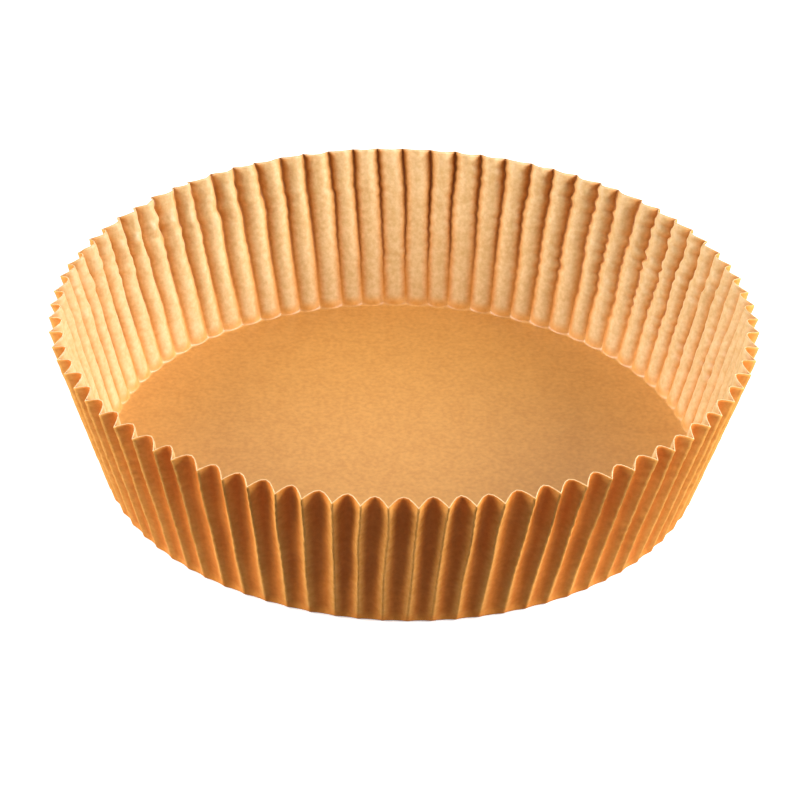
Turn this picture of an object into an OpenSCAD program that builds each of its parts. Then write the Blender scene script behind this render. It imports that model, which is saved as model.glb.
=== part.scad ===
// Air fryer paper liner: one round sheet of kraft baking paper, pressed into a dish.
// The floor stays flat and the wall stands up in fine flutes that deepen towards the rim.
// Millimetres. Origin at the centre of the floor's underside, +Z up.

/* [Size] */
// Diameter of the floor, measured at the foot of the wall
floor_d = 160; // [120:1:200]
// How far the rim stands out past the foot, on each side
wall_lean = 14; // [6:0.5:24]
// Height of the wall, at the tops of the inner folds
wall_h = 45; // [30:1:60]
// Bend radius where the floor turns up into the wall
foot_r = 1.6; // [0.8:0.1:3]

/* [Flutes] */
// Number of flutes around the wall
flute_count = 81; // [60:1:88]
// Depth of the flutes at the rim, from outer fold to inner fold
rim_depth = 3.2; // [1.5:0.1:4]
// Depth of the flutes at the foot of the wall
foot_depth = 1; // [0.3:0.1:1.2]
// Roundness of the inner folds, where 0 would leave them as tight as the outer ones
inner_round = 0.7; // [0.2:0.05:1.2]
// How far the tips of the outer folds sit below the inner ones at the rim
tip_drop = 1.4; // [0:0.1:2]
// Unevenness of the flutes' widths, as a share of one flute
width_wander = 0.05; // [0:0.01:0.08]
// Sideways waver of each fold on its way up, as a share of one flute
fold_waver = 0.03; // [0:0.01:0.05]
// How far each fold drifts around the wall from the rim down to the foot, as a share of one flute
fold_drift = 0.22; // [0:0.01:0.4]
// Turn of the flutes about the axis, with an outer fold at this angle from +X
first_fold = 90.8; // [0:0.1:359.9]

/* [Paper] */
// Thickness of the sheet
paper_t = 0.25; // [0.2:0.01:0.35]

/* [Hidden] */

KRAFT = [0.86, 0.62, 0.38];

// Outline of the wall, at its outer folds
lean_angle = atan(wall_lean / wall_h);
half_bend = (90 - lean_angle) / 2;
foot_run = foot_r * tan(half_bend);
foot_radius = floor_d / 2;
rim_radius = foot_radius + wall_lean;

// Points across one flute, as shares of its width from one outer fold to the next
flank_share = 0.12;
shoulder_share = 0.3;
across = [0, flank_share, shoulder_share, 0.5, 1 - shoulder_share, 1 - flank_share];
per_flute = len(across);
ring_points = flute_count * per_flute;

// Rings up the wall: edge of the flat floor, middle of the bend, foot of the wall, then shares of its height
rise = [0.36, 0.7, 1];
rings = 3 + len(rise);
rim_ring = rings - 1;
flute_angle = 360 / flute_count;

function mix(a, b, share) = a + (b - a) * share;
function unit(v) = v / norm(v);
function inward(v) = [-v[1], v[0]];

// Depth of the flute at one point across it, from 0 on the outer fold to 1 on the inner fold:
// a zigzag whose flanks are straight, and whose inner fold is rounded
function past_fold(run) = norm([run, inner_round]) - inner_round;
function lobe(share) = 1 - past_fold(2 * share - 1) / past_fold(1);

// Each fold stands a little off its even place, and wavers and drifts between the foot and the rim
function uneven(i) = (sin(97 * i) + sin(211 * i)) / 2;
function waver(i, ring) = sin(131 * i + 150 * ring) * (ring > 2 ? 1 : 0);
function up_wall(ring) = ring > 2 ? rise[ring - 3] : 0;
function fold_angle(i, ring) =
    let (
        own = i % flute_count,
        shift = width_wander * uneven(own) + fold_waver * waver(own, ring)
    )
    first_fold + flute_angle * (i + shift - fold_drift * (1 - up_wall(ring)));

// Outer fold's radius and height, and the flutes' depth, on each ring
function fold_radius(ring) =
    ring == 0 ? foot_radius - foot_run :
    ring == 1 ? foot_radius - foot_run + foot_r * sin(half_bend) :
    ring == 2 ? foot_radius + foot_run * sin(lean_angle) :
    mix(fold_radius(2), rim_radius, up_wall(ring));
function fold_height(ring) =
    ring == 0 ? 0 :
    ring == 1 ? foot_r * (1 - cos(half_bend)) :
    ring == 2 ? foot_run * cos(lean_angle) :
    mix(fold_height(2), wall_h, up_wall(ring));
function flute_depth(ring) =
    ring < 3 ? foot_depth * ring / 2 : mix(foot_depth, rim_depth, up_wall(ring));
function tip_fall(ring) = tip_drop * up_wall(ring);

// One ring of points on the outside of the paper
function outer_ring(ring) = [
    for (i = [0 : flute_count - 1], share = across)
        let (
            a = mix(fold_angle(i, ring), fold_angle(i + 1, ring), share),
            in = lobe(share),
            r = fold_radius(ring) - flute_depth(ring) * in,
            z = fold_height(ring) - tip_fall(ring) * (1 - in)
        )
        [r * cos(a), r * sin(a), z]
];

// The same ring on the inside, one thickness away from both flanks that meet at each point
function flat(p) = [p[0], p[1]];
function mitre(before, here, after) =
    let (n1 = inward(unit(here - before)), n2 = inward(unit(after - here)))
    (n1 + n2) / (1 + n1 * n2);
function sideways(ring) = ring == 1 ? paper_t * sin(half_bend) : paper_t / cos(lean_angle);
function upwards(ring) = ring == 1 ? paper_t * cos(half_bend) : 0;
function inner_ring(points, ring) = [
    for (j = [0 : ring_points - 1])
        let (
            before = flat(points[(j + ring_points - 1) % ring_points]),
            after = flat(points[(j + 1) % ring_points]),
            here = points[j],
            m = mitre(before, flat(here), after) * sideways(ring)
        )
        ring == 0 ? here + [0, 0, paper_t] : here + [m[0], m[1], upwards(ring)]
];

// Triangles of one band between two rings; the diagonal is mirrored about each inner fold
function band(low, high, outside) = [
    for (j = [0 : ring_points - 1])
        let (
            k = (j + 1) % ring_points,
            rising = j % per_flute < per_flute / 2,
            two = rising
                ? [[low + j, high + k, low + k], [low + j, high + j, high + k]]
                : [[low + j, high + j, low + k], [low + k, high + j, high + k]]
        )
        for (t = two) outside ? t : [t[2], t[1], t[0]]
];

module liner() {
    outer = [for (ring = [0 : rim_ring]) outer_ring(ring)];
    inner = [for (ring = [0 : rim_ring]) inner_ring(outer[ring], ring)];
    skin = rings * ring_points;
    points = concat(
        [for (ring = outer) each ring],
        [for (ring = inner) each ring],
        [[0, 0, 0], [0, 0, paper_t]]
    );
    under_centre = 2 * skin;
    floor_centre = under_centre + 1;
    faces = concat(
        [for (ring = [0 : rim_ring - 1]) each band(ring * ring_points, (ring + 1) * ring_points, true)],
        [for (ring = [0 : rim_ring - 1])
            each band(skin + ring * ring_points, skin + (ring + 1) * ring_points, false)],
        band(rim_ring * ring_points, skin + rim_ring * ring_points, true),
        [for (j = [0 : ring_points - 1]) [under_centre, j, (j + 1) % ring_points]],
        [for (j = [0 : ring_points - 1]) [floor_centre, skin + (j + 1) % ring_points, skin + j]]
    );
    color(KRAFT)
        polyhedron(points = points, faces = faces, convexity = 10);
}

liner();
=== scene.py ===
import math

import bmesh
import bpy
from mathutils import Matrix, Vector, noise


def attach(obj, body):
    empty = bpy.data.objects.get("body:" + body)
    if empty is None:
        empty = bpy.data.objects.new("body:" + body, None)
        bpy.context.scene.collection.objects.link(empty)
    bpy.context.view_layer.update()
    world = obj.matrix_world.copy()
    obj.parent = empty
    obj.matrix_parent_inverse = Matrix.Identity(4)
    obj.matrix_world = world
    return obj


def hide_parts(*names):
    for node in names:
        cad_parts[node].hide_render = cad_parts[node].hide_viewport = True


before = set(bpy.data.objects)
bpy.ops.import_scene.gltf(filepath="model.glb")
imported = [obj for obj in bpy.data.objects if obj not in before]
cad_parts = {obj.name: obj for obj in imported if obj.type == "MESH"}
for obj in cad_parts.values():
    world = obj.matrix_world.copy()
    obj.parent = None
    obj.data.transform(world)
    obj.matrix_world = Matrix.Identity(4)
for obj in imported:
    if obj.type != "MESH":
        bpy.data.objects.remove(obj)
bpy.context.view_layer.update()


# The liner: one round sheet of silicone-coated kraft baking paper, pressed hot between two
# fluted dies. The floor stays flat, and the wall gathers into 81 flutes that deepen towards
# the rim, where the cut edge of the sheet runs in and out over the folds.
FLOOR_RADIUS = 0.080
WALL_LEAN = 0.014
WALL_HEIGHT = 0.045
FOOT_RADIUS = 0.0016
FLUTES = 81
FIRST_FOLD = 90.8
RIM_DEPTH = 0.0032
FOOT_DEPTH = 0.0010
TIP_DROP = 0.0014
PAPER = 0.00025
WIDTH_WANDER = 0.05
FOLD_WAVER = 0.03
FOLD_DRIFT = -0.22
INNER_ROUND = 0.70

LEAN = math.atan(WALL_LEAN / WALL_HEIGHT)
BEND = math.pi / 2 - LEAN
FOOT_RUN = FOOT_RADIUS * math.tan(BEND / 2)
FOOT_R = FLOOR_RADIUS + FOOT_RUN * math.sin(LEAN)
FOOT_Z = FOOT_RUN * math.cos(LEAN)
RIM_R = FLOOR_RADIUS + WALL_LEAN
FLUTE_ANGLE = 360 / FLUTES

# Places across one flute, as shares of its width, close together at the sharp outer folds
half = [0, 0.07, 0.20, 0.34]
ACROSS = half + [0.5] + [1 - s for s in reversed(half[1:])]
COLUMNS = FLUTES * len(ACROSS)
BEND_RINGS = 4
WALL_RINGS = 66
# Rings of the flat floor, as points around and radius
FLOOR_RINGS = ((324, 0.0765), (162, 0.060), (81, 0.036), (27, 0.014))

# Where the sheet is crumpled: the middle and spread of each patch, in flutes from the back
LEFT_PATCH = (12, 7)
RIGHT_PATCH = (-13, 7)
RIPPLED_PATCH = (-12, 6)
BACK_PATCH = (0, 20)


def mix(a, b, share):
    return a + (b - a) * share


def smooth(low, high, x):
    s = min(max((x - low) / (high - low), 0), 1)
    return s * s * (3 - 2 * s)


def sin_deg(angle):
    return math.sin(math.radians(angle))


def hump(x, middle, width):
    return math.exp(-((x - middle) / width) ** 2)


def uneven(i):
    return (sin_deg(97 * i) + sin_deg(211 * i)) / 2


def waver(i, rise):
    """Sideways waver of fold i, from 0 at the foot through two marks on the wall to the rim."""
    marks = [0] + [sin_deg(131 * i + 150 * ring) for ring in (3, 4, 5)]
    places = [0, 0.36, 0.7, 1]
    for k in range(3):
        if rise <= places[k + 1]:
            return mix(marks[k], marks[k + 1], smooth(places[k], places[k + 1], rise))
    return marks[3]


def from_back(i):
    """Fold i's place, counted from the middle of the back: positive to the left."""
    return (i + FLUTES // 2) % FLUTES - FLUTES // 2


def near(i, patch):
    return hump(from_back(i), *patch)


def left_crease(i, rise):
    return near(i, LEFT_PATCH) * smooth(0.45, 0.8, rise)


def creasing(i, rise):
    """How finely creased the sheet is: most near the rim on the left of the back, and a little
    over the height of the wall on the right of it."""
    right = 0.4 * near(i, RIGHT_PATCH)
    return (0.3 + max(2.0 * left_crease(i, rise), right)) * smooth(0, 0.1, rise)


def kink(i, rise):
    """Each fold drifts a little round the wall towards the foot, and jogs about a quarter of the
    way down, towards the middle of the back. The sheet gathered less evenly on the right at the
    back, where the folds run in ripples, and near the rim on the left."""
    at = 0.75 + 0.04 * noise.noise((i * 0.7, 3.1, 0.0))
    size = 0.06 + 0.05 * noise.noise((i * 0.9, 9.7, 0.0))
    jog = size * smooth(at - 0.04, at + 0.04, rise) * (1 if from_back(i) >= 0 else -1)
    jog *= 0.2 + 0.8 * near(i, BACK_PATCH)
    beat = 13 * rise + 1.2 * noise.noise((i * 0.3, rise * 2.5, 1.5))
    scallop = 1 - 2 * abs(math.sin(math.pi * beat))
    ripple = (0.015 + 0.045 * near(i, RIPPLED_PATCH)) * scallop
    ripple *= 0.8 + 1.2 * noise.noise((i * 0.8, rise * 7, 4.5))
    slight = (0.02 + 0.04 * near(i, BACK_PATCH)) * noise.noise((i * 0.3, rise * 6, 5.5))
    slight += 0.11 * near(i, RIPPLED_PATCH) * noise.noise((i * 0.9, rise * 21, 7.5))
    slight += 0.10 * left_crease(i, rise) * noise.noise((i * 0.9, rise * 17, 2.5))
    drift = FOLD_DRIFT * (1 - rise)
    return drift + jog + (ripple + slight) * smooth(0.05, 0.3, rise)


def fold_angle(i, rise):
    own = i % FLUTES
    shift = WIDTH_WANDER * uneven(own) + FOLD_WAVER * waver(own, rise) + kink(own, rise)
    return FIRST_FOLD + FLUTE_ANGLE * (i + shift)


def lobe(share):
    """Depth across one flute, from 0 on the outer fold to 1 on the inner one: straight flanks
    run up from a tight outer fold to a rounded inner one."""
    zigzag = abs(2 * share - 1)
    rounded = math.hypot(zigzag, INNER_ROUND) - INNER_ROUND
    return 1 - rounded / (math.hypot(1, INNER_ROUND) - INNER_ROUND)


def wall_point(i, share, rise, bend=1.0):
    """A point on the outside of the paper: rise is 0 at the foot and 1 at the rim, and bend is
    the share of the foot's curve, which is 1 on the wall itself."""
    angle = math.radians(mix(fold_angle(i, rise), fold_angle(i + 1, rise), share))
    if bend < 1:
        radius = FLOOR_RADIUS - FOOT_RUN + FOOT_RADIUS * math.sin(BEND * bend)
        height = FOOT_RADIUS * (1 - math.cos(BEND * bend))
        depth = FOOT_DEPTH * bend
    else:
        radius = mix(FOOT_R, RIM_R, rise)
        height = mix(FOOT_Z, WALL_HEIGHT, rise)
        depth = mix(FOOT_DEPTH, RIM_DEPTH, rise)
    inward = lobe(share)
    spot = Vector((radius * math.cos(angle), radius * math.sin(angle), height))
    fullness = 1 + 0.2 * noise.noise(spot * 90)
    crumple = 0.00010 * noise.noise(spot * 260) + 0.00008 * noise.noise(spot * 600)
    slanted = Vector((spot.x + 0.6 * spot.z, spot.y, 0.35 * spot.z))
    crumple -= 0.0014 * left_crease(i, rise) * abs(noise.noise(slanted * 420))
    radius -= depth * inward * fullness - crumple * smooth(0, 0.2, rise)
    height -= TIP_DROP * rise * (1 - inward) + 0.0003 * rise * abs(noise.noise(spot * 140))
    return Vector((radius * math.cos(angle), radius * math.sin(angle), height))


bm = bmesh.new()
bmesh.ops.create_circle(bm, cap_ends=False, segments=COLUMNS, radius=FLOOR_RADIUS - FOOT_RUN)
toward_inner = bm.verts.layers.float.new("toward_inner_fold")
up_wall = bm.verts.layers.float.new("up_wall")
creased = bm.verts.layers.float.new("creased")
column = bm.verts.layers.int.new("column")
for c, vert in enumerate(bm.verts):
    vert[column] = c
foot = list(bm.edges)

ring = foot
for step in range(BEND_RINGS + WALL_RINGS + 1):
    bend = min(step / BEND_RINGS, 1)
    rise = max(step - BEND_RINGS, 0) / WALL_RINGS
    if step:
        grown = bmesh.ops.extrude_edge_only(bm, edges=ring)["geom"]
        ring = [g for g in grown if isinstance(g, bmesh.types.BMEdge)]
        verts = [g for g in grown if isinstance(g, bmesh.types.BMVert)]
    else:
        verts = list(bm.verts)
    for vert in verts:
        i, s = divmod(vert[column], len(ACROSS))
        vert.co = wall_point(i, ACROSS[s], rise, bend)
        vert[toward_inner] = 1 - abs(2 * ACROSS[s] - 1)
        vert[up_wall] = rise
        vert[creased] = creasing(i, rise)

edge = foot
for segments, radius in FLOOR_RINGS:
    circle = bmesh.ops.create_circle(bm, cap_ends=False, segments=segments, radius=radius)
    inner = list(dict.fromkeys(e for v in circle["verts"] for e in v.link_edges))
    bmesh.ops.bridge_loops(bm, edges=edge + inner)
    edge = inner
bmesh.ops.contextual_create(bm, geom=edge)
bmesh.ops.recalc_face_normals(bm, faces=bm.faces)
for f in bm.faces:
    f.smooth = True

mesh = bpy.data.meshes.new("liner_sheet")
bm.to_mesh(mesh)
bm.free()
liner = bpy.data.objects.new("liner_sheet", mesh)
bpy.context.scene.collection.objects.link(liner)
thick = liner.modifiers.new("paper", "SOLIDIFY")
thick.thickness = PAPER
thick.offset = -1
thick.use_even_offset = True
thick.use_quality_normals = True
thick.material_offset = 2
thick.material_offset_rim = 1


# Kraft pulp's look, as one group: fibres mottled in two sizes for the colour, and for the
# height the same fibres, with fine creases and streaks up the wall where it is crumpled
grain = bpy.data.node_groups.new("kraft_pulp", "ShaderNodeTree")
for name, kind in (
    ("Dark", "NodeSocketColor"), ("Pale", "NodeSocketColor"), ("Creased", "NodeSocketFloat")
):
    grain.interface.new_socket(name, in_out="INPUT", socket_type=kind)
for name, kind in (("Color", "NodeSocketColor"), ("Height", "NodeSocketFloat")):
    grain.interface.new_socket(name, in_out="OUTPUT", socket_type=kind)
nodes, links = grain.nodes, grain.links
given = nodes.new("NodeGroupInput")
result = nodes.new("NodeGroupOutput")
place = nodes.new("ShaderNodeTexCoord")


def mottle(scale, detail, stretch=1.0, kind="FBM"):
    squeeze = nodes.new("ShaderNodeMapping")
    squeeze.inputs["Scale"].default_value = (1, 1, stretch)
    links.new(place.outputs["Object"], squeeze.inputs["Vector"])
    cloud = nodes.new("ShaderNodeTexNoise")
    cloud.noise_type = kind
    cloud.inputs["Scale"].default_value = scale
    cloud.inputs["Detail"].default_value = detail
    cloud.inputs["Roughness"].default_value = 0.6
    links.new(squeeze.outputs["Vector"], cloud.inputs["Vector"])
    return cloud.outputs["Fac"]


def blend(factor, first, second):
    both = nodes.new("ShaderNodeMix")
    both.inputs["Factor"].default_value = factor
    links.new(first, both.inputs["A"])
    links.new(second, both.inputs["B"])
    return both.outputs["Result"]


fibres = blend(0.3, mottle(750, 2), mottle(160, 2))
spread = nodes.new("ShaderNodeMapRange")
spread.inputs["From Min"].default_value = 0.36
spread.inputs["From Max"].default_value = 0.64
links.new(fibres, spread.inputs["Value"])
tone = nodes.new("ShaderNodeMix")
tone.data_type = "RGBA"
links.new(spread.outputs["Result"], tone.inputs["Factor"])
links.new(given.outputs["Dark"], tone.inputs["A"])
links.new(given.outputs["Pale"], tone.inputs["B"])
links.new(tone.outputs["Result"], result.inputs["Color"])
creases = blend(0.4, mottle(330, 2, kind="RIDGED_MULTIFRACTAL"), mottle(900, 2, stretch=0.12))
raised = nodes.new("ShaderNodeMath")
raised.operation = "MULTIPLY_ADD"
links.new(creases, raised.inputs[0])
links.new(given.outputs["Creased"], raised.inputs[1])
low_fibres = nodes.new("ShaderNodeMath")
low_fibres.operation = "MULTIPLY"
low_fibres.inputs[1].default_value = 0.35
links.new(fibres, low_fibres.inputs[0])
links.new(low_fibres.outputs[0], raised.inputs[2])
links.new(raised.outputs[0], result.inputs["Height"])


# Painted light and shade on the wall, as one group: a tint for the outer folds and another for
# the inner ones, which each face sets to paint shade into its hollows and a highlight along its
# ridges, and a painted dark shade line in the outer folds' creases, which fades towards the
# foot. The flat floor, below where the wall's look starts, keeps the pulp's own colour.
WALL_STARTS = 0.06
folds = bpy.data.node_groups.new("painted_fold_light", "ShaderNodeTree")
for name in ("Color", "Outer Fold", "Inner Fold"):
    folds.interface.new_socket(name, in_out="INPUT", socket_type="NodeSocketColor")
folds.interface.new_socket("Crease", in_out="INPUT", socket_type="NodeSocketFloat")
folds.interface.new_socket("Color", in_out="OUTPUT", socket_type="NodeSocketColor")
nodes, links = folds.nodes, folds.links
given = nodes.new("NodeGroupInput")
result = nodes.new("NodeGroupOutput")


def measure(attribute, reach):
    read = nodes.new("ShaderNodeAttribute")
    read.attribute_name = attribute
    scaled = nodes.new("ShaderNodeMapRange")
    scaled.interpolation_type = "SMOOTHSTEP"
    scaled.inputs["From Max"].default_value = reach
    links.new(read.outputs["Fac"], scaled.inputs["Value"])
    return scaled.outputs["Result"]


# Painted shade in the hollows and a painted highlight on the ridges, by how far each point lies
# towards the inner fold.
fold_shade_and_highlight = nodes.new("ShaderNodeMix")
fold_shade_and_highlight.data_type = "RGBA"
links.new(measure("toward_inner_fold", 0.7), fold_shade_and_highlight.inputs["Factor"])
links.new(given.outputs["Outer Fold"], fold_shade_and_highlight.inputs["A"])
links.new(given.outputs["Inner Fold"], fold_shade_and_highlight.inputs["B"])
in_crease = nodes.new("ShaderNodeMath")
in_crease.operation = "SUBTRACT"
in_crease.inputs[0].default_value = 1
links.new(measure("toward_inner_fold", 0.3), in_crease.inputs[1])
fading = nodes.new("ShaderNodeMath")
fading.operation = "MULTIPLY"
links.new(in_crease.outputs[0], fading.inputs[0])
links.new(measure("up_wall", 0.5), fading.inputs[1])
crease_shade_amount = nodes.new("ShaderNodeMath")
crease_shade_amount.operation = "MULTIPLY"
links.new(fading.outputs[0], crease_shade_amount.inputs[0])
links.new(given.outputs["Crease"], crease_shade_amount.inputs[1])
# A painted dark shade line in the creases of the outer folds.
crease_shaded = nodes.new("ShaderNodeMix")
crease_shaded.data_type = "RGBA"
crease_shaded.blend_type = "MULTIPLY"
crease_shaded.inputs["B"].default_value = (0.45, 0.35, 0.25, 1)
links.new(crease_shade_amount.outputs[0], crease_shaded.inputs["Factor"])
links.new(fold_shade_and_highlight.outputs["Result"], crease_shaded.inputs["A"])
wall_light_painted = nodes.new("ShaderNodeMix")
wall_light_painted.data_type = "RGBA"
wall_light_painted.blend_type = "MULTIPLY"
links.new(measure("up_wall", WALL_STARTS), wall_light_painted.inputs["Factor"])
links.new(given.outputs["Color"], wall_light_painted.inputs["A"])
links.new(crease_shaded.outputs["Result"], wall_light_painted.inputs["B"])
links.new(wall_light_painted.outputs["Result"], result.inputs["Color"])


def kraft(
    name, dark, pale, outer_fold_light, inner_fold_light, roughness, specular, crease_shade=0.0, coat=(0.0, 0.0)
):
    """One face of the sheet. The coat is the silicone film's strength, on the floor and then on
    the wall."""
    paper = bpy.data.materials.new(name)
    paper.use_nodes = True
    nodes, links = paper.node_tree.nodes, paper.node_tree.links
    shader = nodes["Principled BSDF"]
    shader.inputs["Roughness"].default_value = roughness
    shader.inputs["Specular IOR Level"].default_value = specular
    worn = nodes.new("ShaderNodeAttribute")
    worn.attribute_name = "up_wall"
    film = nodes.new("ShaderNodeMapRange")
    film.inputs["From Max"].default_value = WALL_STARTS
    film.inputs["To Min"].default_value, film.inputs["To Max"].default_value = coat
    links.new(worn.outputs["Fac"], film.inputs["Value"])
    links.new(film.outputs["Result"], shader.inputs["Coat Weight"])
    shader.inputs["Coat Roughness"].default_value = 0.45
    shader.inputs["Coat IOR"].default_value = 1.6
    pulp = nodes.new("ShaderNodeGroup")
    pulp.node_tree = grain
    pulp.inputs["Dark"].default_value = (*dark, 1)
    pulp.inputs["Pale"].default_value = (*pale, 1)
    crumpled = nodes.new("ShaderNodeAttribute")
    crumpled.attribute_name = "creased"
    links.new(crumpled.outputs["Fac"], pulp.inputs["Creased"])
    fold_light_paint = nodes.new("ShaderNodeGroup")
    fold_light_paint.node_tree = folds
    fold_light_paint.inputs["Outer Fold"].default_value = (*outer_fold_light, 1)
    fold_light_paint.inputs["Inner Fold"].default_value = (*inner_fold_light, 1)
    fold_light_paint.inputs["Crease"].default_value = crease_shade
    links.new(pulp.outputs["Color"], fold_light_paint.inputs["Color"])
    links.new(fold_light_paint.outputs["Color"], shader.inputs["Base Color"])
    bump = nodes.new("ShaderNodeBump")
    bump.inputs["Strength"].default_value = 1.0
    bump.inputs["Distance"].default_value = 0.00012
    links.new(pulp.outputs["Height"], bump.inputs["Height"])
    links.new(bump.outputs["Normal"], shader.inputs["Normal"])
    links.new(bump.outputs["Normal"], shader.inputs["Coat Normal"])
    mesh.materials.append(paper)


# On the outer face the outer folds are the ridges, with a painted highlight, and the inner folds
# are the hollows, with painted shade.
kraft(
    "kraft_outer_face", (0.74, 0.25, 0.038), (0.86, 0.32, 0.062),
    outer_fold_light=(1.02, 1.28, 1.6), inner_fold_light=(0.82, 0.68, 0.55), roughness=0.6, specular=0.15,
)
# The cut edge is paler than either face: a painted highlight along the rim.
kraft(
    "kraft_cut_edge", (0.80, 0.50, 0.24), (0.90, 0.62, 0.34),
    outer_fold_light=(1, 1, 1), inner_fold_light=(1, 1, 1), roughness=0.7, specular=0.2,
)
# On the coated face the outer folds are grooves, with painted shade and a painted dark crease
# line, and the inner folds are ridges, with a painted cream highlight.
kraft(
    "kraft_coated_face", (0.59, 0.26, 0.045), (0.71, 0.345, 0.076),
    outer_fold_light=(0.92, 0.78, 0.62), inner_fold_light=(1.02, 1.47, 3.4), roughness=0.5, specular=0.4,
    crease_shade=0.75, coat=(0.9, 0.15),
)

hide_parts("liner")
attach(liner, "root")


# The table: a plain white top, wide enough to fill the picture, with the liner's faint shadow.
# What light comes up from it is a much greyer top's, so that the outer wall isn't flooded.
bm = bmesh.new()
bmesh.ops.create_circle(bm, cap_ends=True, segments=96, radius=3)
mesh = bpy.data.meshes.new("table_top")
bm.to_mesh(mesh)
bm.free()
table = bpy.data.objects.new("table_top", mesh)
bpy.context.scene.collection.objects.link(table)
white = bpy.data.materials.new("white_table")
white.use_nodes = True
nodes, links = white.node_tree.nodes, white.node_tree.links
view = nodes.new("ShaderNodeLightPath")
mirrored = nodes.new("ShaderNodeMath")
mirrored.operation = "MAXIMUM"
links.new(view.outputs["Is Glossy Ray"], mirrored.inputs[0])
links.new(view.outputs["Is Transmission Ray"], mirrored.inputs[1])


def by_ray(seen, reflected, otherwise):
    """One value for camera rays, one for rays off gloss or through glass, one for the rest."""
    low = nodes.new("ShaderNodeMath")
    low.operation = "MULTIPLY_ADD"
    low.inputs[1].default_value = reflected - otherwise
    low.inputs[2].default_value = otherwise
    links.new(mirrored.outputs[0], low.inputs[0])
    high = nodes.new("ShaderNodeMath")
    high.operation = "MULTIPLY_ADD"
    high.inputs[1].default_value = seen - otherwise
    links.new(view.outputs["Is Camera Ray"], high.inputs[0])
    links.new(low.outputs[0], high.inputs[2])
    return high.outputs[0]


matt = nodes["Principled BSDF"]
matt.inputs["Roughness"].default_value = 0.8
links.new(by_ray(0.95, 0.43, 0.12), matt.inputs["Base Color"])
matt.inputs["Emission Color"].default_value = (1, 1, 1, 1)
links.new(by_ray(0.4, 0.55, 0.0), matt.inputs["Emission Strength"])
mesh.materials.append(white)

# The room: bare and white wherever it is seen, and nearly dark as a light.
room = bpy.data.worlds.new("white_room")
bpy.context.scene.world = room
room.use_nodes = True
nodes, links = room.node_tree.nodes, room.node_tree.links
backdrop = nodes["Background"]
backdrop.inputs["Color"].default_value = (1, 1, 1, 1)
ray = nodes.new("ShaderNodeLightPath")
seen = nodes.new("ShaderNodeMath")
seen.operation = "ADD"
seen.use_clamp = True
links.new(ray.outputs["Is Camera Ray"], seen.inputs[0])
links.new(ray.outputs["Is Glossy Ray"], seen.inputs[1])
seen_through = nodes.new("ShaderNodeMath")
seen_through.operation = "ADD"
seen_through.use_clamp = True
links.new(seen.outputs[0], seen_through.inputs[0])
links.new(ray.outputs["Is Transmission Ray"], seen_through.inputs[1])
level = nodes.new("ShaderNodeMapRange")
level.inputs["To Min"].default_value = 0.02
level.inputs["To Max"].default_value = 1.0
links.new(seen_through.outputs[0], level.inputs["Value"])
links.new(level.outputs["Result"], backdrop.inputs["Strength"])


# The light: softboxes on both sides of the table, all turned to the middle of the liner, and
# a little stronger on the right.
LIT_SPOT = Vector((0, 0, 0.02))


def softbox(name, place, size, power):
    light = bpy.data.lights.new(name, "AREA")
    light.shape = "RECTANGLE"
    light.size, light.size_y = size
    light.energy = power
    lamp = bpy.data.objects.new(name, light)
    lamp.location = place
    lamp.rotation_euler = (LIT_SPOT - Vector(place)).to_track_quat("-Z", "Y").to_euler()
    bpy.context.scene.collection.objects.link(lamp)


softbox("left_softbox", (-1.0, -0.24, 0.56), (0.3, 0.6), 10.0)
softbox("right_softbox", (1.0, -0.24, 0.56), (0.3, 0.6), 10.8)
softbox("side_left_softbox", (-1.03, 0.18, 0.5), (0.3, 0.4), 3.6)
softbox("side_right_softbox", (1.03, 0.18, 0.5), (0.3, 0.4), 8.6)
softbox("front_left_softbox", (-0.87, -0.5, 0.58), (0.3, 0.4), 4.3)
softbox("front_right_softbox", (0.87, -0.5, 0.58), (0.3, 0.4), 5.6)
softbox("low_left_softbox", (-1.0, -0.32, 0.06), (0.2, 0.1), 1.7)
softbox("low_right_softbox", (1.0, -0.32, 0.06), (0.2, 0.1), 0.7)


# The camera: a long lens, looking down at about 32 degrees and turned by under two degrees,
# so that the floor's centre falls a little below the middle of the picture.
DISTANCE = 1.034
ELEVATION = math.radians(32.43)
FOCAL_PIXELS = 3816
ROLL = math.radians(1.61)
CENTRE_PIXEL = (400.6, 453.3)
PICTURE = 800
SENSOR = 36

camera_data = bpy.data.cameras.new("camera")
camera_data.sensor_width = SENSOR
camera_data.lens = FOCAL_PIXELS * SENSOR / PICTURE
camera = bpy.data.objects.new("camera", camera_data)
bpy.context.scene.collection.objects.link(camera)
back = Vector((0, -math.cos(ELEVATION), math.sin(ELEVATION)))
camera.location = back * DISTANCE
right = Vector((1, 0, 0))
up = back.cross(right)
turned = Matrix.Rotation(ROLL, 3, back) @ Matrix((right, up, back)).transposed()
off_x = (CENTRE_PIXEL[0] - PICTURE / 2) / FOCAL_PIXELS
off_y = (CENTRE_PIXEL[1] - PICTURE / 2) / FOCAL_PIXELS
aim = Matrix.Rotation(math.atan(off_x), 3, "Y") @ Matrix.Rotation(math.atan(off_y), 3, "X")
camera.rotation_euler = (turned @ aim).to_euler()
camera_data.clip_start = 0.05
camera_data.clip_end = 20
bpy.context.scene.camera = camera
bpy.context.scene.view_settings.view_transform = "Standard"
